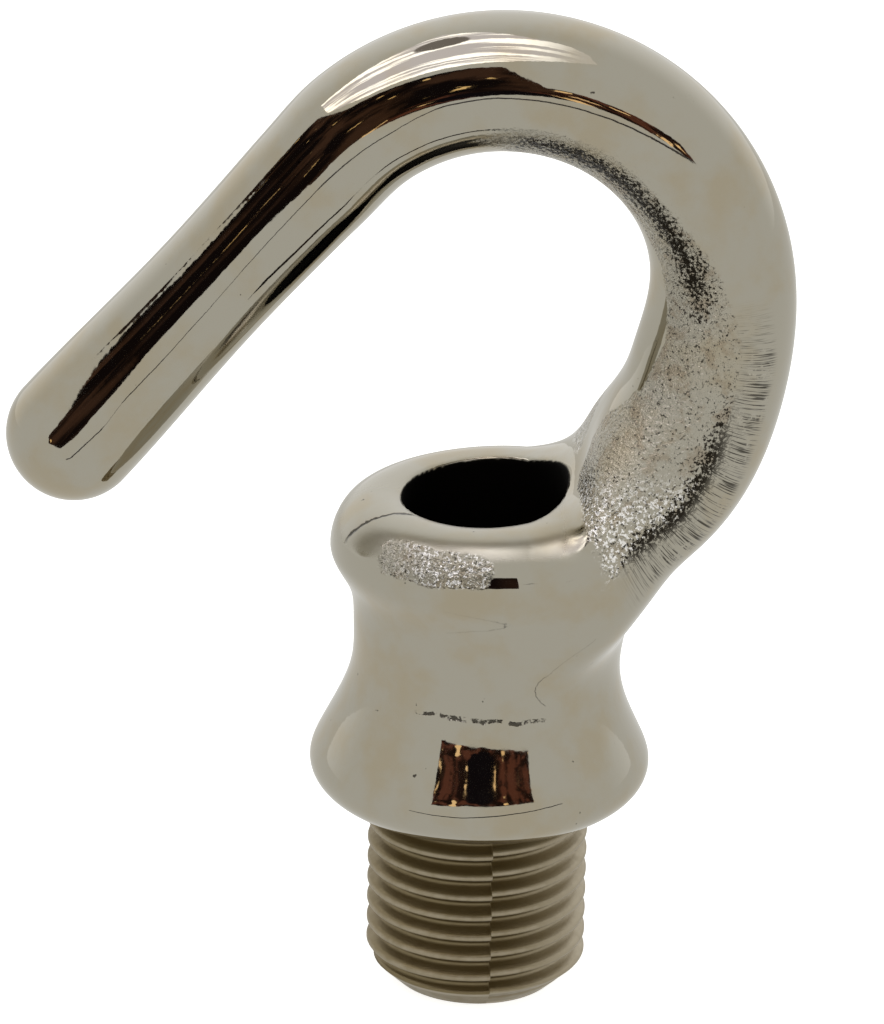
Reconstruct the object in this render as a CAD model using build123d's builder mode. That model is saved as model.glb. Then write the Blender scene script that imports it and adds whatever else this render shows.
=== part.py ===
"""Threaded lamp hook, cast in one piece, with a wire way drilled through its collar and male thread.

Millimetres. +Z runs up the thread's axis towards the hook. The origin is on that axis in the plane of the
bell's seat, where the thread begins. The hook lies in the XZ plane, with its root at +X and its tip at -X.
"""
import os
from math import cos, pi, radians, sin

from build123d import *

# Male thread and wire way
thread_diameter = 10.0
thread_length = 9.1
thread_chamfer = 1.2
wire_way_diameter = 7.4

# Turned outline above the seat: bell, waist, and a collar with a domed crown
seat_diameter = 10.8
bell_diameter = 15.4
bell_height = 1.7
flank_diameter = 12.9
flank_height = 4.6
waist_diameter = 11.5
waist_height = 7.4
throat_diameter = 12.1
throat_height = 10.1
collar_diameter = 13.8
collar_height = 12.0
crown_diameter = 8.1
crown_height = 14.4

# Rod of the hook: a bend about a centre above the thread, then a straight arm with a round tip
bend_centre_x = 0.6
bend_centre_height = 24.0
bend_radius = 9.75
rod_diameter = 6.1
arm_angle = 139.0
arm_length = 17.7
arm_waist_diameter = 5.6
tip_diameter = 6.0

# Root of the rod: it leaves the bend's circle, thickens, flares to the collar's width and tucks into the waist
root_start_angle = 12.0
root_end_angle = -87.0
root_spread = 6.6
root_thickness = 8.3
root_swell = 0.4
root_flare = 12.2
root_tuck = 7.2
root_stations = 7


def section_plane(angle, radius=bend_radius):
    """Plane square to the rod at an angle about the bend's centre: x points outwards, the normal to the tip."""
    turn = radians(angle)
    outwards = Vector(cos(turn), 0, sin(turn))
    along = Vector(-sin(turn), 0, cos(turn))
    centre = Vector(bend_centre_x, 0, bend_centre_height)
    return Plane(origin=centre + outwards * radius, x_dir=outwards, z_dir=along)


# Thread blank, bell, waist and collar as one turned outline, with a closed crown for now
with BuildPart() as turned:
    with BuildSketch(Plane.XZ):
        with BuildLine():
            blank = Polyline(
                (0, -thread_length),
                (thread_diameter / 2 - thread_chamfer, -thread_length),
                (thread_diameter / 2, -thread_length + thread_chamfer),
                (thread_diameter / 2, 0),
                (seat_diameter / 2, 0),
            )
            lip = EllipticalCenterArc(
                (seat_diameter / 2, bell_height),
                (bell_diameter - seat_diameter) / 2,
                bell_height,
                start_angle=270,
                arc_size=90,
            )
            ogee = Spline(
                lip @ 1,
                (flank_diameter / 2, flank_height),
                (waist_diameter / 2, waist_height),
                (throat_diameter / 2, throat_height),
                (collar_diameter / 2, collar_height),
                tangents=((0, 1), (0, 1)),
            )
            crown = EllipticalCenterArc(
                (crown_diameter / 2, collar_height),
                (collar_diameter - crown_diameter) / 2,
                crown_height - collar_height,
                start_angle=0,
                arc_size=90,
            )
            Polyline(crown @ 1, (0, crown_height), (0, -thread_length))
        make_face()
    revolve(axis=Axis.Z)

# Rod: the oval root, the round bend and the waisted arm
with BuildPart() as rod:
    for station in range(root_stations):
        share = station / (root_stations - 1)
        angle = root_start_angle + share * (root_end_angle - root_start_angle)
        thickness = rod_diameter + (root_thickness - rod_diameter) * share + root_swell * sin(pi * share)
        width = rod_diameter + root_flare * share**2.5 - root_tuck * share**12
        with BuildSketch(section_plane(angle, bend_radius + root_spread * share**4)):
            Ellipse(thickness / 2, width / 2)
    loft()
    with BuildLine():
        ThreePointArc(
            section_plane(root_start_angle).origin,
            section_plane((root_start_angle + arm_angle) / 2).origin,
            section_plane(arm_angle).origin,
        )
    with BuildSketch(section_plane(root_start_angle)):
        Circle(rod_diameter / 2)
    sweep()
    arm_start = section_plane(arm_angle)
    with BuildSketch(Plane(origin=arm_start.origin, x_dir=arm_start.z_dir, z_dir=(0, 1, 0))):
        with BuildLine():
            flank = Spline(
                (0, rod_diameter / 2),
                (arm_length / 2, arm_waist_diameter / 2),
                (arm_length, tip_diameter / 2),
                tangents=((1, 0), (1, 0)),
            )
            tip = RadiusArc(flank @ 1, (arm_length + tip_diameter / 2, 0), tip_diameter / 2)
            Polyline(tip @ 1, (0, 0), flank @ 0)
        make_face()
    revolve(axis=Axis(arm_start.origin, arm_start.z_dir))

# The casting: both forms in one, then the wire way drilled right through
with BuildPart() as hook:
    add(turned.part)
    add(rod.part)
    with Locations((0, 0, -thread_length)):
        Cylinder(
            wire_way_diameter / 2,
            thread_length + bend_centre_height,
            align=(Align.CENTER, Align.CENTER, Align.MIN),
            mode=Mode.SUBTRACT,
        )

hook.part.label = "hook"

os.makedirs("parts", exist_ok=True)
export_step(hook.part, "parts/hook.step")
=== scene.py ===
"""Threaded lamp hook, cast in one piece and nickel plated, in its studio.

Shapes are worked out in millimetres with the seat's plane at height 0 and the thread's axis upright, and
become metres where a mesh is made. The casting is the level surface of a field that joins a turned body
to a bent rod. The male thread is a profile carried round its helix.
"""

import bmesh
import bpy
import numpy as np
from mathutils import Euler, Matrix, Vector

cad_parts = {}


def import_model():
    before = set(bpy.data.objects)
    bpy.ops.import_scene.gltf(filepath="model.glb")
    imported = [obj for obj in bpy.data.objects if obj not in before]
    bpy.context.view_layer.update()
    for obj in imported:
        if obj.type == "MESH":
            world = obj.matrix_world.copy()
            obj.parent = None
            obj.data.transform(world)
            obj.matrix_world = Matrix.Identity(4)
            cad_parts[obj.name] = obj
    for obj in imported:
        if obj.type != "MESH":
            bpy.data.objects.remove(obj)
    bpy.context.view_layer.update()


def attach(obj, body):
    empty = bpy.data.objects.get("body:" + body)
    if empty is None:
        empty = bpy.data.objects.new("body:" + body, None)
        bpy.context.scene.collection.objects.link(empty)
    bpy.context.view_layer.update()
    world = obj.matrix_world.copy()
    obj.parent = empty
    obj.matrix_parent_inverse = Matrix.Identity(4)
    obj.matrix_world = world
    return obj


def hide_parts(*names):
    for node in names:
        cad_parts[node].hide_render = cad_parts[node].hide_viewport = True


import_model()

MM = 0.001

# Wire way through the collar and the thread
WIRE_WAY_RADIUS = 3.7
WIRE_WAY_TOP = 21.0
WIRE_WAY_EDGE = 0.3

# Turned body: the seat and lip, the wall's heights and radii, and the crown
SEAT_RADIUS = 5.4
LIP_HEIGHT = 1.65
WALL_HEIGHTS = (1.65, 2.75, 4.45, 6.4, 8.35, 10.3, 12.0)
WALL_RADII = (7.69, 7.34, 6.5, 5.85, 5.79, 6.1, 6.88)
CROWN_RADIUS = 4.6
CROWN_INSET = 2.4
CROWN_TOP = 14.42

# Rod: a bend about a centre above the thread, then a straight arm with a round tip
BEND_X = 0.62
BEND_Z = 23.98
BEND_RADIUS = 9.74
ARM_ANGLE = 139.2
ARM_LENGTH = 17.7
ARM_MIDDLE_RADIUS = 2.77
TIP_RADIUS = 3.02
ARM_EASE = 2.5
ROOT_ANGLE = -82.0
ROOT_END = 3.0
ROD_ANGLES = (-82, -70, -60, -50, -35, -20, 10, 50, 90, 115, 139.2)
ROD_INNER = (11.0, 9.65, 7.95, 6.97, 6.5, 6.2, 6.5, 6.71, 6.67, 6.71, 6.77)
ROD_OUTER = (17.2, 16.0, 14.7, 14.42, 13.94, 13.32, 12.82, 12.77, 12.81, 12.77, 12.71)
ROD_WIDTH = (5.4, 6.1, 5.3, 4.6, 3.9, 3.55, 3.12, 3.03, 3.05, 3.03, 2.97)
ROD_SQUARENESS = (3.2, 3.2, 3.0, 2.6, 2.3, 2.0, 2.0, 2.0, 2.0, 2.0, 2.0)
ROD_MIDDLE_ANGLE = 30.0
FOOT_SWELL = 0.45
FOOT_HEIGHT = 7.4
FOOT_REACH = 2.6
STEEPEST_SCALE = 6.0

# Fillet between body and rod: wider behind the wire way, above the collar
FOOT_BLEND = 3.2
CROOK_BLEND = 6.5
CROOK_HEIGHTS = (11.0, 14.0)
CROOK_DEPTHS = (-2.0, 2.5)

# Rough skin inside the bend: angles about the bend's centre, and the turns about the rod that bound it
ROUGH_ANGLES = (-80, -62, -48, -30, -10, 15, 27, 42, 60, 90)
ROUGH_LOW = (90, 84, 73, 75, 72, 95, 108, 115, 118, 120)
ROUGH_HIGH = (175, 170, 160, 140, 132, 145, 152, 158, 162, 165)
DARK_ANGLES = (0, 15, 27, 42, 60, 90)
DARK_INNER = (109, 114, 123, 130, 130, 132)

# Rough patch on the collar's front, where painted glints sparkle, and the satin crown behind it
PATCH_RISE = (12.3, 12.9)
PATCH_FALL = (13.7, 14.2)
PATCH_AZIMUTH = -111.0
PATCH_SPREAD = (16, 30)
SATIN_RISE = (13.45, 13.8)
SATIN_FALL = (14.8, 15.4)
SATIN_TILT = 0.19

# Level surface: spacing of its grid and the room around the shape
GRID_STEP = 0.21
GRID_LOW = (-22.4, -8.4, -0.8)
GRID_HIGH = (14.6, 8.4, 37.6)
SETTLING_STEPS = 4

# Male thread
THREAD_RADIUS = 5.0
THREAD_LENGTH = 9.1
THREAD_PITCH = 1.0
THREAD_DEPTH = 0.6
THREAD_FLANK = (0.12, 0.88)
THREAD_FADE = (0.35, 0.8)
CHAMFER_WIDTH = 1.25
CHAMFER_SLOPE = 1.05
CHAMFER_EDGE = 0.12
NECK_RADIUS = 4.75
MOULD_SHIFT = 0.2
MOULD_LINE = -82.0
MOULD_EDGES = (-0.7, -0.05, 0.05, 0.7)
THREAD_COLUMNS = 216
THREAD_ROWS = 11
BORE_ROWS = 5
WELD_REACH = 0.0005


def smooth_line(stations, values, start_slope=None, end_slope=None):
    """Cubic spline through the points, as a function that gives its value and slope at any station.

    Without a slope an end is natural: the curve has no bending there.
    """
    x = np.asarray(stations, float)
    y = np.asarray(values, float)
    gap = np.diff(x)
    rise = np.diff(y) / gap
    count = len(x)
    matrix = np.diag(np.ones(count))
    load = np.zeros(count)
    inner = np.arange(1, count - 1)
    matrix[inner, inner - 1] = gap[:-1]
    matrix[inner, inner] = 2 * (gap[:-1] + gap[1:])
    matrix[inner, inner + 1] = gap[1:]
    load[inner] = 6 * np.diff(rise)
    if start_slope is not None:
        matrix[0, :2] = 2 * gap[0], gap[0]
        load[0] = 6 * (rise[0] - start_slope)
    if end_slope is not None:
        matrix[-1, -2:] = gap[-1], 2 * gap[-1]
        load[-1] = 6 * (end_slope - rise[-1])
    bend = np.linalg.solve(matrix, load)

    def at(t):
        t = np.clip(t, x[0], x[-1])
        k = np.clip(np.searchsorted(x, t) - 1, 0, count - 2)
        left = (x[k + 1] - t) / gap[k]
        right = (t - x[k]) / gap[k]
        bow = (left**3 - left) * bend[k] + (right**3 - right) * bend[k + 1]
        lean = (3 * right**2 - 1) * bend[k + 1] - (3 * left**2 - 1) * bend[k]
        return left * y[k] + right * y[k + 1] + bow * gap[k] ** 2 / 6, rise[k] + lean * gap[k] / 6

    return at


def step_up(value, low, high):
    """Smooth step: 0 below low, 1 above high."""
    t = np.clip((value - low) / (high - low), 0, 1)
    return t * t * (3 - 2 * t)


def band(value, rise, fall):
    """Smooth plateau: it rises over the first pair of values and falls over the second."""
    return step_up(value, *rise) * (1 - step_up(value, *fall))


def smooth_min(a, b, reach):
    """The smaller of two fields, rounded where they differ by less than reach."""
    near = np.maximum(reach - np.abs(a - b), 0) / reach
    return np.minimum(a, b) - near**3 * reach / 6


wall = smooth_line(WALL_HEIGHTS, WALL_RADII, 0.0, 0.0)


def body_field(x, y, z):
    """Distance outside the turned body: an elliptic lip, a waisted wall and an elliptic crown.

    The wall swells a little below the rod, where the casting's foot runs out into the waist.
    """
    radius = np.hypot(x, y)
    wall_radius, wall_slope = wall(z)
    towards_rod = (0.5 + 0.5 * x / (radius + 1e-6)) ** 8
    foot = FOOT_SWELL * towards_rod * np.exp(-(((z - FOOT_HEIGHT) / FOOT_REACH) ** 2))
    side = (radius - wall_radius - foot) / np.sqrt(1 + wall_slope**2)
    lip_out = np.maximum(radius - SEAT_RADIUS, 0) / (WALL_RADII[0] - SEAT_RADIUS)
    lip_down = np.maximum(LIP_HEIGHT - z, 0) / LIP_HEIGHT
    lip = (np.hypot(lip_out, lip_down) - 1) * LIP_HEIGHT
    shoulder = WALL_HEIGHTS[-1]
    crown_height = CROWN_TOP - shoulder
    crown_reach = np.where(radius < CROWN_RADIUS, CROWN_INSET, WALL_RADII[-1] - CROWN_RADIUS)
    crown_out = (radius - CROWN_RADIUS) / crown_reach
    crown_up = np.maximum(z - shoulder, 0) / crown_height
    crown = (np.hypot(crown_out, crown_up) - 1) * crown_height
    return np.where(z < LIP_HEIGHT, lip, np.where(z > shoulder, crown, side))


def rod_profiles():
    """Inner and outer radius, half width and squareness of the rod's section, each against its station.

    A station is a length along the bend's circle from the place where the arm starts, negative to the root.
    """
    bend_stations = BEND_RADIUS * np.radians(np.array(ROD_ANGLES) - ARM_ANGLE)
    stations = np.append(bend_stations, (ARM_LENGTH / 2, ARM_LENGTH))
    arm = np.array((ARM_MIDDLE_RADIUS, TIP_RADIUS))
    rows = (
        np.append(ROD_INNER, BEND_RADIUS - arm),
        np.append(ROD_OUTER, BEND_RADIUS + arm),
        np.append(ROD_WIDTH, arm),
        np.append(ROD_SQUARENESS, (2.0, 2.0)),
    )
    return [smooth_line(stations, row, None, 0.0) for row in rows]


rod_inner, rod_outer, rod_width, rod_squareness = rod_profiles()
root_station = BEND_RADIUS * np.radians(ROOT_ANGLE - ARM_ANGLE)


def rod_place(x, z):
    """Station along the rod, and distance from the bend's centre, measured square to the arm on the arm.

    Angles run both ways from the middle of the bend.
    """
    turn = np.radians(ARM_ANGLE)
    middle = np.radians(ROD_MIDDLE_ANGLE)
    across = x - BEND_X
    up = z - BEND_Z
    angle = middle + (np.arctan2(up, across) - middle + np.pi) % (2 * np.pi) - np.pi
    arm_station = up * np.cos(turn) - across * np.sin(turn)
    arm_out = across * np.cos(turn) + up * np.sin(turn)
    on_arm = np.where(angle > middle, step_up(arm_station, -ARM_EASE, ARM_EASE), 0.0)
    station = BEND_RADIUS * (angle - turn) * (1 - on_arm) + arm_station * on_arm
    return station, np.hypot(across, up) * (1 - on_arm) + arm_out * on_arm


def rod_section(x, y, z):
    """Station, the place in the section outwards and sideways with 1 at the skin, and half its depth."""
    station, out = rod_place(x, z)
    low = rod_inner(station)[0]
    high = rod_outer(station)[0]
    half = (high - low) / 2
    return station, (out - (high + low) / 2) / half, y / rod_width(station)[0], half


def rod_field(x, y, z):
    """Distance outside the rod: a superellipse section carried along it, with round ends."""
    station, out, side, thick = rod_section(x, y, z)
    power = rod_squareness(station)[0]
    out = np.abs(out) + 1e-6
    side = np.abs(side) + 1e-6
    skin = (out**power + side**power) ** (1 / power)
    tip = np.maximum(station - ARM_LENGTH, 0) / TIP_RADIUS
    root = np.maximum(root_station - station, 0) / ROOT_END
    size = np.sqrt(skin**2 + tip**2 + root**2)
    steep_out = (out / skin) ** (power - 1) / thick
    steep_side = (side / skin) ** (power - 1) / rod_width(station)[0]
    steep_ends = (tip / TIP_RADIUS) ** 2 + (root / ROOT_END) ** 2
    steep = np.sqrt(skin**2 * (steep_out**2 + steep_side**2) + steep_ends)
    return (size - 1) * np.minimum(size / (steep + 1e-3), STEEPEST_SCALE)


def casting_field(x, y, z):
    """Distance outside the casting: body and rod flow together, and the wire way is cut through both."""
    crook = step_up(z, *CROOK_HEIGHTS) * step_up(y, *CROOK_DEPTHS)
    reach = FOOT_BLEND + (CROOK_BLEND - FOOT_BLEND) * crook
    solid = smooth_min(body_field(x, y, z), rod_field(x, y, z), reach)
    drill = np.maximum(np.hypot(x, y) - WIRE_WAY_RADIUS, z - WIRE_WAY_TOP)
    return -smooth_min(-solid, drill, WIRE_WAY_EDGE)


def field_slope(field, points):
    """Steepest direction of a field at each point, by differences over a thousandth of a millimetre."""
    reach = 0.001
    slope = np.empty_like(points)
    for axis in range(3):
        offset = np.zeros(3)
        offset[axis] = reach
        ahead = field(*(points + offset).T)
        behind = field(*(points - offset).T)
        slope[:, axis] = (ahead - behind) / (2 * reach)
    return slope


def level_surface(field, low, high, spacing):
    """Points and quads of the field's zero surface.

    Each grid cell that the surface crosses gets one point, the mean of its crossed edges, and each crossed
    edge gets one quad, which joins the four cells around it. The points are then moved onto the surface
    along the field's slope.
    """
    axes = [np.arange(a, b, spacing) for a, b in zip(low, high)]
    value = field(*np.meshgrid(*axes, indexing="ij"))
    inside = value < 0
    cells = np.array(value.shape) - 1
    total = np.zeros((*cells, 3))
    hits = np.zeros(cells)
    crossings = []
    for axis in range(3):
        others = [a for a in range(3) if a != axis]
        start = np.moveaxis(value, axis, 0)[:-1]
        end = np.moveaxis(value, axis, 0)[1:]
        crossed = (start < 0) != (end < 0)
        share = np.where(crossed, start / np.where(crossed, start - end, 1.0), 0.0)
        crossings.append((crossed, others))
        for first in (0, 1):
            for second in (0, 1):
                window = (
                    slice(None),
                    slice(first, first + cells[others[0]]),
                    slice(second, second + cells[others[1]]),
                )
                hit = np.moveaxis(crossed[window], 0, axis)
                place = [None, None, None]
                place[axis] = np.moveaxis(share[window], 0, axis)
                place[others[0]] = np.full(cells, float(first))
                place[others[1]] = np.full(cells, float(second))
                hits += hit
                total += np.stack(place, -1) * hit[..., None]
    used = hits > 0
    number = np.full(used.shape, -1)
    number[used] = np.arange(used.sum())
    corner = np.argwhere(used)
    points = np.array(low) + (corner + total[used] / hits[used][:, None]) * spacing
    quads = []
    for axis, (crossed, others) in enumerate(crossings):
        window = crossed[:, 1:-1, 1:-1]
        along, first, second = np.nonzero(window)
        ring = []
        for a, b in ((0, 0), (1, 0), (1, 1), (0, 1)):
            cell = [None, None, None]
            cell[axis] = along
            cell[others[0]] = first + a
            cell[others[1]] = second + b
            ring.append(number[tuple(cell)])
        ring = np.stack(ring, 1)
        outward = np.moveaxis(inside, axis, 0)[:-1, 1:-1, 1:-1][window]
        if axis == 1:
            outward = ~outward
        quads.append(np.where(outward[:, None], ring, ring[:, ::-1]))
    for _ in range(SETTLING_STEPS):
        slope = field_slope(field, points)
        away = field(*points.T) / np.maximum((slope**2).sum(1), 0.05)
        points -= slope * np.clip(away, -spacing / 2, spacing / 2)[:, None]
    return points, np.concatenate(quads)


def make_mesh(name, points, faces, masks, weld=0.0):
    """Smooth shaded object made of points in millimetres and quads.

    Masks are one number for each point, for a material to read. Points closer than weld become one.
    """
    mesh = bpy.data.meshes.new(name)
    mesh.vertices.add(len(points))
    mesh.vertices.foreach_set("co", (points * MM).astype(np.float32).ravel())
    mesh.loops.add(faces.size)
    mesh.loops.foreach_set("vertex_index", faces.astype(np.int32).ravel())
    mesh.polygons.add(len(faces))
    mesh.polygons.foreach_set("loop_start", np.arange(0, faces.size, 4, dtype=np.int32))
    mesh.update(calc_edges=True)
    for label, values in masks.items():
        attribute = mesh.attributes.new(label, "FLOAT", "POINT")
        attribute.data.foreach_set("value", np.asarray(values, np.float32).ravel())
    if weld:
        shell = bmesh.new()
        shell.from_mesh(mesh)
        bmesh.ops.remove_doubles(shell, verts=shell.verts, dist=weld * MM)
        shell.to_mesh(mesh)
        shell.free()
    mesh.shade_smooth()
    piece = bpy.data.objects.new(name, mesh)
    bpy.context.scene.collection.objects.link(piece)
    return piece


def male_thread():
    """Right-hand thread as a closed ring, whose rows follow the helix.

    Each column runs down the wire way and back up the outside.
    The radius is a rounded wave of the distance from the helix, kept inside the end's chamfer and faded into
    the neck. Rows are cut off level at both ends, and points that fall together there are welded.
    """
    seam = np.radians(MOULD_LINE % 360 + np.array(MOULD_EDGES))
    turn = np.sort(np.append(np.linspace(0, 2 * np.pi, THREAD_COLUMNS + 1), seam))
    step = THREAD_PITCH / THREAD_ROWS
    rows = np.arange(-THREAD_LENGTH - THREAD_PITCH, step / 2, step)
    climb = THREAD_PITCH * turn / (2 * np.pi)
    height = np.clip(rows[:, None] + climb, -THREAD_LENGTH, 0)
    slip = ((turn - np.radians(MOULD_LINE)) / (2 * np.pi)) % 1.0
    shift = MOULD_SHIFT * (1 - slip)
    phase = (height - climb - shift) / THREAD_PITCH
    wave = np.abs((phase % 1.0) - 0.5) * 2
    ridge = step_up(wave, *THREAD_FLANK)
    threaded = step_up(-height, *THREAD_FADE)
    radius = THREAD_RADIUS - THREAD_DEPTH * (1 - ridge)
    radius = NECK_RADIUS + (radius - NECK_RADIUS) * threaded
    cone = THREAD_RADIUS - CHAMFER_WIDTH + (height + THREAD_LENGTH) * CHAMFER_SLOPE
    radius = smooth_min(radius, cone, CHAMFER_EDGE)
    across = np.cos(turn)
    depth = np.sin(turn)
    outside = np.stack([radius * across, radius * depth, height], -1)
    ring = np.stack([WIRE_WAY_RADIUS * across, WIRE_WAY_RADIUS * depth, np.zeros_like(turn)], -1)
    levels = np.linspace(0, -THREAD_LENGTH, BORE_ROWS)
    inside = ring[None] + levels[:, None, None] * np.array((0, 0, 1))
    grid = np.concatenate([inside, outside])
    count, width = grid.shape[:2]
    row, column = np.meshgrid(np.arange(count), np.arange(width - 1), indexing="ij")
    here = row * width + column
    below = (row + 1) % count * width + column
    faces = np.stack([here, here + 1, below + 1, below], -1).reshape(-1, 4)
    worn = np.concatenate([np.ones((len(levels), width)), np.maximum(ridge, 1 - threaded)])
    return make_mesh("hook_thread", grid.reshape(-1, 3), faces, {"ridge": worn}, WELD_REACH)


def hook_casting():
    """The casting, with masks for its rough skin and grinding marks and the coordinates they follow."""
    points, quads = level_surface(casting_field, GRID_LOW, GRID_HIGH, GRID_STEP)
    x, y, z = points.T
    station, out, side, _ = rod_section(x, y, z)
    angle = ARM_ANGLE + np.degrees(station / BEND_RADIUS)
    around = np.degrees(np.arctan2(np.abs(side), out))
    on_rod = step_up(body_field(x, y, z) - rod_field(x, y, z), -0.5, 1.5) * step_up(-station, 4.0, 7.0)
    azimuth = np.degrees(np.arctan2(y, x))
    low = np.interp(angle, ROUGH_ANGLES, ROUGH_LOW)
    high = np.interp(angle, ROUGH_ANGLES, ROUGH_HIGH)
    middle = np.interp(angle, DARK_ANGLES, DARK_INNER)
    ends = on_rod * band(angle, (-72, -62), (75, 105))
    rough = band(around, (low - 6, low + 8), (high - 4, high + 8)) * ends
    patch = band(z, PATCH_RISE, PATCH_FALL) * (1 - step_up(np.abs(azimuth - PATCH_AZIMUTH), *PATCH_SPREAD))
    dark_inner = np.exp(-(((around - middle) / 12) ** 2)) * step_up(angle, -8, 12)
    dark_outer = np.exp(-(((around - low) / 9) ** 2)) * band(angle, (-66, -58), (-34, -12))
    hatched = band(around, (low - 34, low - 24), (low - 6, low + 4)) * on_rod
    crown = step_up(z - SATIN_TILT * np.minimum(x + 2, 0), *SATIN_RISE) * (1 - step_up(z, *SATIN_FALL))
    crown_front = step_up(x, -7.2, -6.2) * (1 - step_up(y, 0.0, 3.0)) * (1 - on_rod)
    masks = {
        "rough": np.maximum(rough, patch),
        "dark": np.maximum(dark_inner, dark_outer) * ends,
        "hatched": hatched * band(-angle, (-6, 12), (58, 66)),
        "satin": crown * crown_front,
        "station": station,
        "around": around,
    }
    piece = make_mesh("hook_casting", points, quads, masks)
    slope = field_slope(casting_field, points)
    piece.data.normals_split_custom_set_from_vertices(slope / np.linalg.norm(slope, axis=1)[:, None])
    return piece


class Finish:
    """A node material on a principled surface, with short calls for its nodes."""

    def __init__(self, name):
        self.material = bpy.data.materials.new(name)
        self.material.use_nodes = True
        self.nodes = self.material.node_tree.nodes
        self.links = self.material.node_tree.links
        self.surface = self.nodes["Principled BSDF"]

    def link(self, value, socket):
        """Sets a socket to a number or colour, or joins an output to it."""
        if isinstance(value, bpy.types.NodeSocket):
            self.links.new(value, socket)
        else:
            socket.default_value = value

    def mask(self, name):
        node = self.nodes.new("ShaderNodeAttribute")
        node.attribute_name = name
        return node.outputs["Fac"]

    def place(self):
        """Object coordinates in millimetres."""
        coordinates = self.nodes.new("ShaderNodeTexCoord")
        mapping = self.nodes.new("ShaderNodeMapping")
        mapping.inputs["Scale"].default_value = (1 / MM, 1 / MM, 1 / MM)
        self.links.new(coordinates.outputs["Object"], mapping.inputs["Vector"])
        return mapping.outputs["Vector"]

    def split(self, vector):
        node = self.nodes.new("ShaderNodeSeparateXYZ")
        self.link(vector, node.inputs["Vector"])
        return node.outputs["X"], node.outputs["Y"], node.outputs["Z"]

    def join(self, *values):
        node = self.nodes.new("ShaderNodeCombineXYZ")
        for value, socket in zip(values, node.inputs):
            self.link(value, socket)
        return node.outputs["Vector"]

    def math(self, operation, first, second=0.0, third=0.0):
        node = self.nodes.new("ShaderNodeMath")
        node.operation = operation
        for value, socket in zip((first, second, third), node.inputs):
            self.link(value, socket)
        return node.outputs["Value"]

    def product(self, first, *others):
        for other in others:
            first = self.math("MULTIPLY", first, other)
        return first

    def range(self, value, low, high, start=0.0, end=1.0):
        node = self.nodes.new("ShaderNodeMapRange")
        node.interpolation_type = "SMOOTHSTEP"
        for number, name in ((low, "From Min"), (high, "From Max"), (start, "To Min"), (end, "To Max")):
            node.inputs[name].default_value = number
        self.link(value, node.inputs["Value"])
        return node.outputs["Result"]

    def noise(self, place, scale, detail=3.0, roughness=0.55):
        node = self.nodes.new("ShaderNodeTexNoise")
        self.link(place, node.inputs["Vector"])
        node.inputs["Scale"].default_value = scale
        node.inputs["Detail"].default_value = detail
        node.inputs["Roughness"].default_value = roughness
        return node.outputs["Fac"]

    def mix(self, share, first, second):
        node = self.nodes.new("ShaderNodeMix")
        node.data_type = "RGBA"
        self.link(share, node.inputs[0])
        self.link(first, node.inputs[6])
        self.link(second, node.inputs[7])
        return node.outputs[2]

    def bump(self, height, distance, strength=1.0):
        node = self.nodes.new("ShaderNodeBump")
        node.inputs["Distance"].default_value = distance
        self.link(strength, node.inputs["Strength"])
        self.link(height, node.inputs["Height"])
        return node


# Colours of plate and dirt, of painted glints, of the thread with its painted light, and of the painted
# shade in the bore
NICKEL = (0.45, 0.425, 0.355, 1)
NICKEL_WARM = (0.44, 0.39, 0.29, 1)
GRIME = (0.02, 0.016, 0.011, 1)
STAIN = (0.3, 0.23, 0.15, 1)
PAINTED_GLINT = (1, 0.98, 0.95, 1)
THREAD_NICKEL = (0.225, 0.18, 0.1, 1)
THREAD_CREST_AND_PAINTED_LIGHT = (0.44, 0.385, 0.285, 1)
PAINTED_BORE_SHADE = (0.006, 0.005, 0.004, 1)

# Marks: a groove across the collar beside the wire way, and a scratch round the bell
GROOVE_Y = -2.65
GROOVE_END_X = (-3.0, -3.3)
GROOVE_BOTTOM = (12.8, 13.4)
GROOVE_TOP = (15.2, 14.8)
SCRATCH_HEIGHT = 5.93
SCRATCH_TILT = 0.05
SCRATCH_REACH = (3.0, 2.6)
SCRATCH_FRONT = (-4.6, -4.9)
# Where the wire way's inside is darkened with painted shade: its radius and its top
BORE_SIDE = (3.78, 3.72)
BORE_TOP = (16.8, 16.2)
# Where the painted glints on the rough skin stop, upwards and to the left
PAINTED_GLINT_TOP = (17.5, 15.5)
PAINTED_GLINT_LEFT = (-4.2, -2.2)


def worn_marks(finish, place):
    """Share of groove and scratch at each place, both wandering a little."""
    x, y, z = finish.split(place)
    wobble = finish.math("SUBTRACT", finish.noise(place, 1.3, 3.0), 0.5)
    beside = finish.math("MULTIPLY_ADD", wobble, 0.7, finish.math("ADD", y, -GROOVE_Y))
    groove = finish.product(
        finish.range(finish.math("ABSOLUTE", beside), 0.13, 0.04),
        finish.range(x, *GROOVE_END_X),
        finish.range(z, *GROOVE_BOTTOM),
        finish.range(z, *GROOVE_TOP),
    )
    above = finish.math("MULTIPLY_ADD", x, SCRATCH_TILT, finish.math("SUBTRACT", z, SCRATCH_HEIGHT))
    above = finish.math("MULTIPLY_ADD", wobble, 0.55, above)
    scratch = finish.product(
        finish.range(finish.math("ABSOLUTE", above), 0.1, 0.03),
        finish.range(y, *SCRATCH_FRONT),
        finish.range(finish.math("ABSOLUTE", x), *SCRATCH_REACH),
        finish.range(finish.noise(place, 2.6, 2.0), 0.42, 0.5),
    )
    return finish.math("MAXIMUM", groove, scratch)


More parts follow.
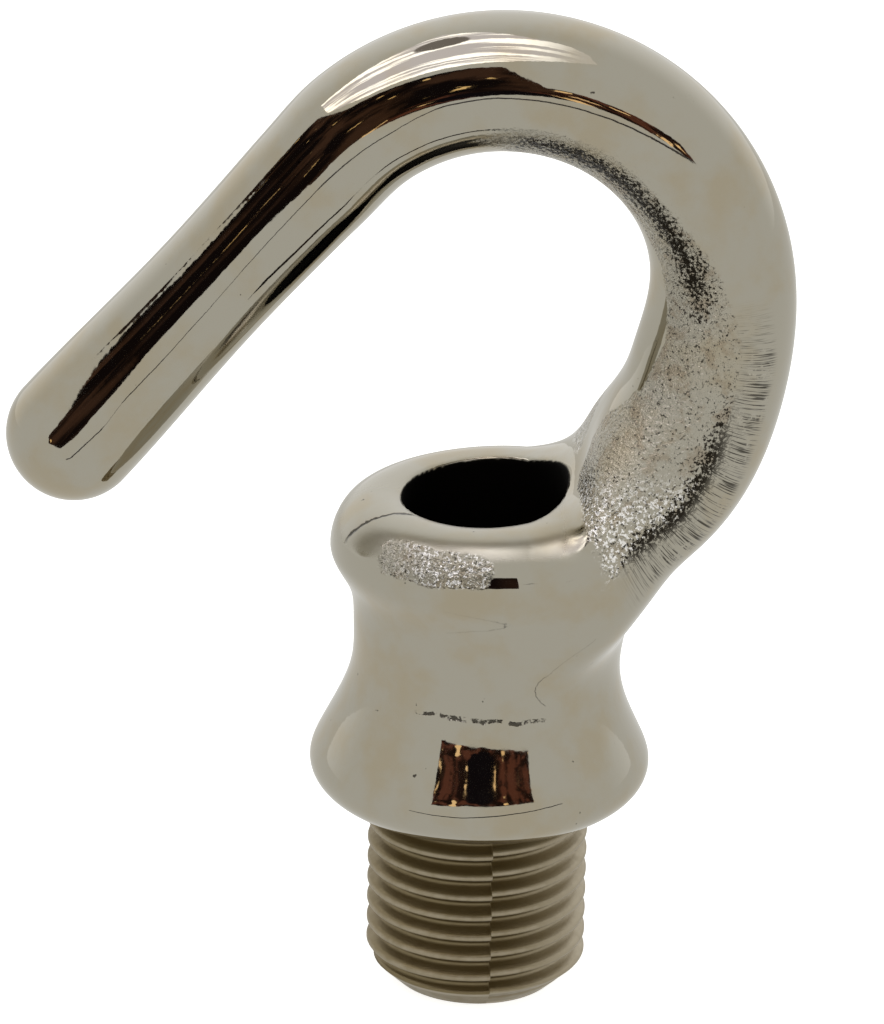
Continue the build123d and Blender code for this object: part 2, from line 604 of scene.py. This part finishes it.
def polished_nickel():
    """Bright plate over brass, with faint waviness and warm thin spots.

    Its masks add a pitted and dirty skin inside the bend, with painted glints low down, grinding strokes and
    a satin crown. The wire way's inside is darkened with painted shade.
    """
    finish = Finish("polished_nickel")
    place = finish.place()
    x, y, z = finish.split(place)
    rough = finish.mask("rough")
    dark = finish.mask("dark")
    hatched = finish.mask("hatched")
    cloud = finish.noise(place, 0.35, 4.0)
    grain = finish.noise(place, 1.6, 3.0)
    pits = finish.noise(place, 5.0, 3.0, 0.6)
    blotch = finish.noise(place, 1.1, 5.0, 0.65)
    specks = finish.range(finish.noise(place, 2.3, 2.0), 0.745, 0.79)
    edge = finish.range(finish.math("ADD", rough, finish.product(blotch, 1.1)), 0.85, 1.2)
    along = finish.product(finish.mask("station"), 24.0)
    around = finish.product(finish.mask("around"), 0.03)
    stroke = finish.range(finish.noise(finish.join(along, around, 0.0), 1.0, 2.0), 0.5, 0.6)
    hatch = finish.product(stroke, hatched, finish.range(blotch, 0.36, 0.46))
    marks = worn_marks(finish, place)
    radius = finish.math("SQRT", finish.math("MULTIPLY_ADD", x, x, finish.product(y, y)))
    bore = finish.product(finish.range(radius, *BORE_SIDE), finish.range(z, *BORE_TOP))
    grit = finish.math("MULTIPLY_ADD", dark, -0.17, finish.noise(place, 6.5, 4.0, 0.75))
    dirt = finish.product(finish.math("MAXIMUM", edge, dark), finish.range(grit, 0.43, 0.37))
    stain = finish.product(edge, finish.range(blotch, 0.5, 0.62))
    # Painted glints: near-white specks on the rough skin low down
    painted_glints = finish.product(
        finish.range(finish.noise(place, 5.5, 3.0, 0.7), 0.52, 0.57),
        edge,
        finish.range(z, *PAINTED_GLINT_TOP),
        finish.range(x, *PAINTED_GLINT_LEFT, 0.15, 1.0),
    )
    colour = finish.mix(finish.range(cloud, 0.42, 0.7), NICKEL, NICKEL_WARM)
    colour = finish.mix(finish.product(stain, 0.45), colour, STAIN)
    # Painted glints mixed into the plate's colour
    colour = finish.mix(painted_glints, colour, PAINTED_GLINT)
    colour = finish.mix(dirt, colour, GRIME)
    colour = finish.mix(finish.product(hatch, 0.85), colour, GRIME)
    colour = finish.mix(finish.product(finish.math("MAXIMUM", marks, specks), 0.85), colour, GRIME)
    # Painted shade: the wire way's inside darkened nearly black
    colour = finish.mix(bore, colour, PAINTED_BORE_SHADE)
    finish.link(colour, finish.surface.inputs["Base Color"])
    finish.surface.inputs["Metallic"].default_value = 1.0
    gloss = finish.range(grain, 0.3, 0.8, 0.03, 0.06)
    gloss = finish.math("MULTIPLY_ADD", edge, 0.06, gloss)
    gloss = finish.math("MULTIPLY_ADD", finish.mask("satin"), 0.25, gloss)
    gloss = finish.math("MULTIPLY_ADD", bore, 0.6, gloss)
    finish.link(gloss, finish.surface.inputs["Roughness"])
    wave = finish.bump(cloud, 0.00012, 0.12)
    pitting = finish.bump(pits, 0.00013, finish.math("MAXIMUM", edge, dark))
    strokes = finish.bump(stroke, 0.00005, finish.product(hatched, 0.6))
    cuts = finish.bump(finish.product(marks, -1.0), 0.00008, 0.8)
    finish.link(wave.outputs["Normal"], pitting.inputs["Normal"])
    finish.link(pitting.outputs["Normal"], strokes.inputs["Normal"])
    finish.link(strokes.outputs["Normal"], cuts.inputs["Normal"])
    finish.link(cuts.outputs["Normal"], finish.surface.inputs["Normal"])
    return finish.material


def thread_nickel():
    """Thin plate on the thread: dull olive, paler on the crests and neck, with painted light on the side
    towards the rod.
    """
    finish = Finish("thread_nickel")
    place = finish.place()
    x, _, _ = finish.split(place)
    grain = finish.noise(place, 1.8, 3.0)
    fine = finish.noise(place, 7.0, 2.0)
    worn = finish.math("MULTIPLY_ADD", grain, 0.25, finish.mask("ridge"))
    # Painted light: the side towards the rod is painted paler. The paler crests and neck are wear.
    pale = finish.math("MAXIMUM", finish.range(worn, 0.95, 1.25), finish.range(x, 0.8, 4.6, 0.0, 0.9))
    colour = finish.mix(pale, THREAD_NICKEL, THREAD_CREST_AND_PAINTED_LIGHT)
    finish.link(colour, finish.surface.inputs["Base Color"])
    finish.surface.inputs["Metallic"].default_value = 1.0
    finish.link(finish.range(grain, 0.3, 0.7, 0.36, 0.46), finish.surface.inputs["Roughness"])
    finish.link(finish.bump(fine, 0.00002, 0.25).outputs["Normal"], finish.surface.inputs["Normal"])
    return finish.material


# Studio: the camera, the colours of the tent, and the softbox
CAMERA_PITCH = 22.08
CAMERA_ROLL = 1.113
CAMERA_DISTANCE = 264.3
CAMERA_LENS = 209.2
SENSOR_WIDTH = 36.0
PICTURE_WIDTH = 884
PICTURE_HEIGHT = 1024
AIM_HEIGHT = 17.14
AIM_PIXEL = (486.25, 436.48)
TENT = (0.74, 0.735, 0.71, 1)
WHITE = (1, 1, 1, 1)
TENT_TURN = (0.1, 0.9)
SOFTBOX_WAY = (-0.3, -0.3, 0.9)
SOFTBOX_AIM = (0, 0, 0.02)
SOFTBOX_DISTANCE = 0.4
SOFTBOX_SIZE = 0.2
SOFTBOX_COLOUR = (1, 0.98, 0.96)


def camera():
    """Camera that looks down on the hook, with the aim point at its pixel of the photograph's frame."""
    data = bpy.data.cameras.new("camera")
    data.lens = CAMERA_LENS
    data.sensor_width = SENSOR_WIDTH
    data.clip_start = 0.01
    piece = bpy.data.objects.new("camera", data)
    bpy.context.scene.collection.objects.link(piece)
    pixels = CAMERA_LENS / SENSOR_WIDTH * PICTURE_HEIGHT
    pitch = Euler((np.radians(90 - CAMERA_PITCH), 0, 0)).to_matrix()
    turn = pitch @ Matrix.Rotation(np.radians(CAMERA_ROLL), 3, "Z")
    across = (AIM_PIXEL[0] - PICTURE_WIDTH / 2) / pixels
    down = (AIM_PIXEL[1] - PICTURE_HEIGHT / 2) / pixels
    aim = Vector((across, -down, -1)) * CAMERA_DISTANCE
    place = Vector((0, 0, AIM_HEIGHT)) - turn @ aim
    piece.matrix_world = Matrix.Translation(place * MM) @ turn.to_4x4()
    bpy.context.scene.camera = piece


def world():
    """A pale warm tent all round, brighter behind the hook, and white to the camera."""
    sky = bpy.data.worlds.new("tent")
    sky.use_nodes = True
    bpy.context.scene.world = sky
    nodes = sky.node_tree.nodes
    links = sky.node_tree.links
    background = nodes["Background"]
    direction = nodes.new("ShaderNodeTexCoord")
    split = nodes.new("ShaderNodeSeparateXYZ")
    links.new(direction.outputs["Generated"], split.inputs["Vector"])
    behind = nodes.new("ShaderNodeMapRange")
    behind.interpolation_type = "SMOOTHSTEP"
    behind.inputs["From Min"].default_value, behind.inputs["From Max"].default_value = TENT_TURN
    links.new(split.outputs["Y"], behind.inputs["Value"])
    tint = nodes.new("ShaderNodeMix")
    tint.data_type = "RGBA"
    tint.inputs[6].default_value = TENT
    tint.inputs[7].default_value = WHITE
    links.new(behind.outputs["Result"], tint.inputs[0])
    seen = nodes.new("ShaderNodeLightPath")
    final = nodes.new("ShaderNodeMix")
    final.data_type = "RGBA"
    final.inputs[7].default_value = WHITE
    links.new(tint.outputs[2], final.inputs[6])
    links.new(seen.outputs["Is Camera Ray"], final.inputs[0])
    links.new(final.outputs[2], background.inputs["Color"])


def softbox():
    """Square lamp that faces the collar. Its power follows from its area."""
    light = bpy.data.lights.new("softbox", "AREA")
    light.shape = "SQUARE"
    light.size = SOFTBOX_SIZE
    light.energy = np.pi * SOFTBOX_SIZE**2
    light.color = SOFTBOX_COLOUR
    piece = bpy.data.objects.new("softbox", light)
    way = Vector(SOFTBOX_WAY).normalized()
    piece.location = Vector(SOFTBOX_AIM) + way * SOFTBOX_DISTANCE
    piece.rotation_euler = way.to_track_quat("Z", "Y").to_euler()
    bpy.context.scene.collection.objects.link(piece)


# Windows, folds and seams of the tent that the hook mirrors: corners across and up, on upright planes
WINDOW_DISTANCE = 40.0
WINDOW_JOINTS = 1.2
WINDOW_RAGGEDNESS = 0.35
WINDOW_LOWER = ((-36, 13), (-28, 11.5), (-26, 17), (-27, 22), (-26, 24), (-18, 23), (-14, 27), (-11, 34),
                (-6, 36.5), (2, 35), (7, 38))
WINDOW_UPPER = ((4.5, 48), (2, 57), (-1, 66), (-9, 67), (-25, 66), (-49, 67), (-49, 17))
LOW_WINDOW_DISTANCE = 60.0
LOW_WINDOW = ((-36, 25.2), (4, 25.5), (45, 30), (45, 46), (-36, 46))
COLLAR_WINDOW_DISTANCE = 10.0
COLLAR_WINDOW = ((-4.5, 13.2), (2.9, 13.1), (2.9, 15.0), (-4.5, 15.2))
FOLD_DISTANCE = 12.0
FOLD = ((-30, -9), (-5.35, -9), (-5.35, 10.5), (-30, 10.5))
ROOT_FOLD = ((-5, 17), (6, 16.5), (6, 28), (-5, 27))
CURTAIN_DISTANCE = 30.0
CURTAIN = ((-10, 18.5), (8, 18.5), (22, 21.5), (45, 24), (45, 34), (8, 34), (-10, 28))
SEAM_DISTANCE = 11.8
SEAM_WIDTH = 0.4
SEAM = ((-20, 12.5), (-18.2, 13.4), (-16.2, 14.5), (-15.8, 16.5), (-13.7, 18.3), (-12.4, 20.2),
        (-11.5, 22.4), (-10.2, 24.5), (-8.5, 26.6), (-6.1, 27.6), (-4.4, 28.8), (-2.8, 31.4), (-0.5, 32.2),
        (4.2, 32), (8.7, 31.9), (13.9, 32.1))
LOW_SEAM_DISTANCE = 9.0
LOW_SEAM_WIDTH = 0.1
LOW_SEAM = ((-5.2, 2.15), (-3.2, 2.03), (-1.1, 2.05), (1.25, 2.33), (3.5, 2.66), (7.5, 3.4))

# Wing of the window, turned back: where it ends, and its corners as shares of the way there and heights
WING_END = (-100, -22)
WING = ((0, 17), (0.08, 31), (0.33, 42), (0.67, 57), (1.0, 63), (1.05, 70), (0.85, 83), (0, 67))

# Light of the windows: black folds, brown folds and sunlit spots
DUSK_COLOURS = ((0.008, 0.005, 0.005, 1), (0.07, 0.035, 0.022, 1), (1.2, 0.8, 0.35, 1))
LOW_DUSK_COLOURS = ((0.02, 0.01, 0.008, 1), (0.15, 0.055, 0.035, 1), (1.4, 0.95, 0.5, 1))
ROUND_BLACK = (0.008, 0.006, 0.008, 1)
ROUND_X = 1.0
ROUND_HEIGHT = 31.5
ROUND_EDGE = (130.0, 100.0)
LOW_DUSK_SQUASH = 2.6
SEAM_GREY = (0.07, 0.065, 0.07, 1)

# Lamp panel over the hook, as a share of its height: corners across and back
PANEL_HEIGHT = 200.0
PANEL = ((-1.5, 0.05), (-1.15, 0.1), (-0.89, 0.16), (-0.52, 0.3), (-0.34, 0.41), (-0.1, 0.23), (0.12, 0.04),
         (0.36, -0.06), (0.44, -0.15), (0.52, -0.39), (0.4, -0.55), (0.18, -0.79), (-0.03, -0.9),
         (-0.16, -0.92), (-0.4, -0.95), (-0.7, -0.96), (-1.04, -0.97), (-1.2, -0.87), (-1.49, -0.57))
PANEL_WHITE = (3.0, 2.95, 3.0, 1)
PANEL_STREAK = (1.05, 1.0, 1.08, 1)
PANEL_DIM = (0.95, 0.92, 0.9, 1)
PANEL_OVAL = (0.3, 0.27, 0.26, 1)
OVAL_PLACE = (-0.35, 0.07)


def ragged(line, spacing, depth):
    """The line with joints at equal spacing, each moved sideways at random within depth."""
    line = np.array(line, float)
    lengths = np.append(0, np.cumsum(np.hypot(*np.diff(line, axis=0).T)))
    steps = np.linspace(0, lengths[-1], int(lengths[-1] / spacing) + 1)
    joints = np.stack([np.interp(steps, lengths, line[:, axis]) for axis in (0, 1)], 1)
    ahead = np.gradient(joints, axis=0)
    ahead /= np.linalg.norm(ahead, axis=1)[:, None]
    moves = np.random.default_rng(5).uniform(-depth, depth, len(joints))
    return (joints + np.stack([-ahead[:, 1], ahead[:, 0]], 1) * moves[:, None]).tolist()


def ribbon(line, width):
    """Corners of a band of that width along a line, as one outline."""
    line = np.array(line, float)
    offset = np.array((0, width / 2))
    return np.concatenate([line + offset, (line - offset)[::-1]]).tolist()


def card(name, corners, material):
    """Flat piece of the tent with these corners, seen by reflections alone."""
    mesh = bpy.data.meshes.new(name)
    points = [tuple(MM * value for value in corner) for corner in corners]
    mesh.from_pydata(points, [], [tuple(range(len(corners)))])
    piece = bpy.data.objects.new(name, mesh)
    bpy.context.scene.collection.objects.link(piece)
    mesh.materials.append(material)
    piece.visible_camera = False
    piece.visible_diffuse = False
    piece.visible_shadow = False
    piece.visible_transmission = False


def upright(corners, distance):
    return [(x, -distance, z) for x, z in corners]


def glow(name, colour_of):
    """Light-giving material whose colour is a function of its finish and its place in millimetres."""
    finish = Finish(name)
    finish.nodes.remove(finish.surface)
    light = finish.nodes.new("ShaderNodeEmission")
    finish.link(colour_of(finish, finish.place()), light.inputs["Color"])
    finish.links.new(light.outputs["Emission"], finish.nodes["Material Output"].inputs["Surface"])
    return finish.material


def dusk(finish, place):
    """Black and brown folds with a few sunlit streaks, as the arm and the collar mirror them."""
    black, brown, sunlit = DUSK_COLOURS
    folds = finish.noise(place, 0.07, 3.0)
    streaks = finish.noise(place, 0.16, 2.0)
    colour = finish.mix(finish.range(folds, 0.42, 0.62), black, brown)
    return finish.mix(finish.range(streaks, 0.69, 0.72), colour, sunlit)


def low_dusk(finish, place):
    """The same room as the bell mirrors it: a black round in the middle, brown folds and bright spots."""
    black, brown, sunlit = LOW_DUSK_COLOURS
    x, _, z = finish.split(place)
    squashed = finish.join(x, 0.0, finish.product(z, LOW_DUSK_SQUASH))
    folds = finish.noise(squashed, 0.1, 2.0)
    spots = finish.noise(squashed, 0.14, 0.0)
    up = finish.product(finish.math("SUBTRACT", z, ROUND_HEIGHT), LOW_DUSK_SQUASH)
    side = finish.math("SUBTRACT", x, ROUND_X)
    away = finish.math("MULTIPLY_ADD", side, side, finish.product(up, up))
    colour = finish.mix(finish.range(folds, 0.45, 0.6), black, brown)
    colour = finish.mix(finish.range(spots, 0.66, 0.68), colour, sunlit)
    return finish.mix(finish.range(away, *ROUND_EDGE), colour, ROUND_BLACK)


def panel_light(finish, place):
    """White, dimmer to the right and in soft streaks from left to right, with one grey oval."""
    x, y, _ = finish.split(place)
    across = finish.math("MULTIPLY_ADD", x, 1 / PANEL_HEIGHT, -OVAL_PLACE[0])
    back = finish.math("MULTIPLY_ADD", y, 1 / PANEL_HEIGHT, -OVAL_PLACE[1])
    oval = finish.math("MULTIPLY_ADD", across, across, finish.product(back, back))
    streaks = finish.noise(finish.join(finish.product(x, 0.004), finish.product(y, 0.03), 0.0), 1.0)
    colour = finish.mix(finish.range(streaks, 0.56, 0.46), PANEL_WHITE, PANEL_STREAK)
    colour = finish.mix(finish.range(across, 0.35, 0.8), colour, PANEL_DIM)
    return finish.mix(finish.range(oval, 0.03, 0.02), colour, PANEL_OVAL)


def tent_cards():
    """The windows, folds and seams, and the lamp panel overhead."""
    window = glow("window_dusk", dusk)
    cloth = glow("tent_cloth", lambda finish, place: TENT)
    shade = glow("tent_seam", lambda finish, place: SEAM_GREY)
    window_edge = ragged(WINDOW_LOWER, WINDOW_JOINTS, WINDOW_RAGGEDNESS)
    card("window", upright(window_edge + list(WINDOW_UPPER), WINDOW_DISTANCE), window)
    start = np.array((WINDOW_UPPER[-1][0], -WINDOW_DISTANCE))
    way = np.array(WING_END) - start
    card("window_wing", [(*(start + share * way).tolist(), height) for share, height in WING], window)
    card("low_window", upright(LOW_WINDOW, LOW_WINDOW_DISTANCE), glow("low_dusk", low_dusk))
    card("collar_window", upright(COLLAR_WINDOW, COLLAR_WINDOW_DISTANCE), window)
    card("fold", upright(FOLD, FOLD_DISTANCE), cloth)
    card("root_fold", upright(ROOT_FOLD, FOLD_DISTANCE), cloth)
    card("curtain", upright(CURTAIN, CURTAIN_DISTANCE), cloth)
    card("seam", upright(ribbon(SEAM, SEAM_WIDTH), SEAM_DISTANCE), shade)
    card("low_seam", upright(ribbon(LOW_SEAM, LOW_SEAM_WIDTH), LOW_SEAM_DISTANCE), shade)
    height = PANEL_HEIGHT + BEND_Z + BEND_RADIUS
    corners = [(x * PANEL_HEIGHT, y * PANEL_HEIGHT, height) for x, y in PANEL]
    card("lamp_panel", corners, glow("panel_light", panel_light))


# Floor: half its side in metres, and its colour and light
FLOOR_HALF = 2.0
FLOOR_COLOUR = (0.8, 0.79, 0.76, 1)
FLOOR_LIGHT = 0.8


def floor():
    """Pale floor under the thread's end: white to the camera, as bright as the tent in reflections."""
    height = -THREAD_LENGTH * MM
    sides = ((-1, -1), (1, -1), (1, 1), (-1, 1))
    mesh = bpy.data.meshes.new("floor")
    mesh.from_pydata([(x * FLOOR_HALF, y * FLOOR_HALF, height) for x, y in sides], [], [(0, 1, 2, 3)])
    piece = bpy.data.objects.new("floor", mesh)
    bpy.context.scene.collection.objects.link(piece)
    finish = Finish("pale_floor")
    surface = finish.surface.inputs
    surface["Base Color"].default_value = FLOOR_COLOUR
    surface["Roughness"].default_value = 0.9
    surface["Specular IOR Level"].default_value = 0.0
    surface["Emission Color"].default_value = WHITE
    seen = finish.nodes.new("ShaderNodeLightPath")
    finish.link(finish.product(seen.outputs["Is Camera Ray"], FLOOR_LIGHT), surface["Emission Strength"])
    mirrored = finish.nodes.new("ShaderNodeEmission")
    mirrored.inputs["Color"].default_value = TENT
    either = finish.nodes.new("ShaderNodeMixShader")
    finish.link(seen.outputs["Is Glossy Ray"], either.inputs["Fac"])
    finish.links.new(finish.surface.outputs["BSDF"], either.inputs[1])
    finish.links.new(mirrored.outputs["Emission"], either.inputs[2])
    finish.links.new(either.outputs["Shader"], finish.nodes["Material Output"].inputs["Surface"])
    mesh.materials.append(finish.material)


casting = hook_casting()
casting.data.materials.append(polished_nickel())
thread = male_thread()
thread.data.materials.append(thread_nickel())
for piece in (casting, thread):
    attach(piece, "root")
    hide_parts("hook")

floor()
tent_cards()
world()
softbox()
camera()
bpy.context.scene.view_settings.view_transform = "Standard"
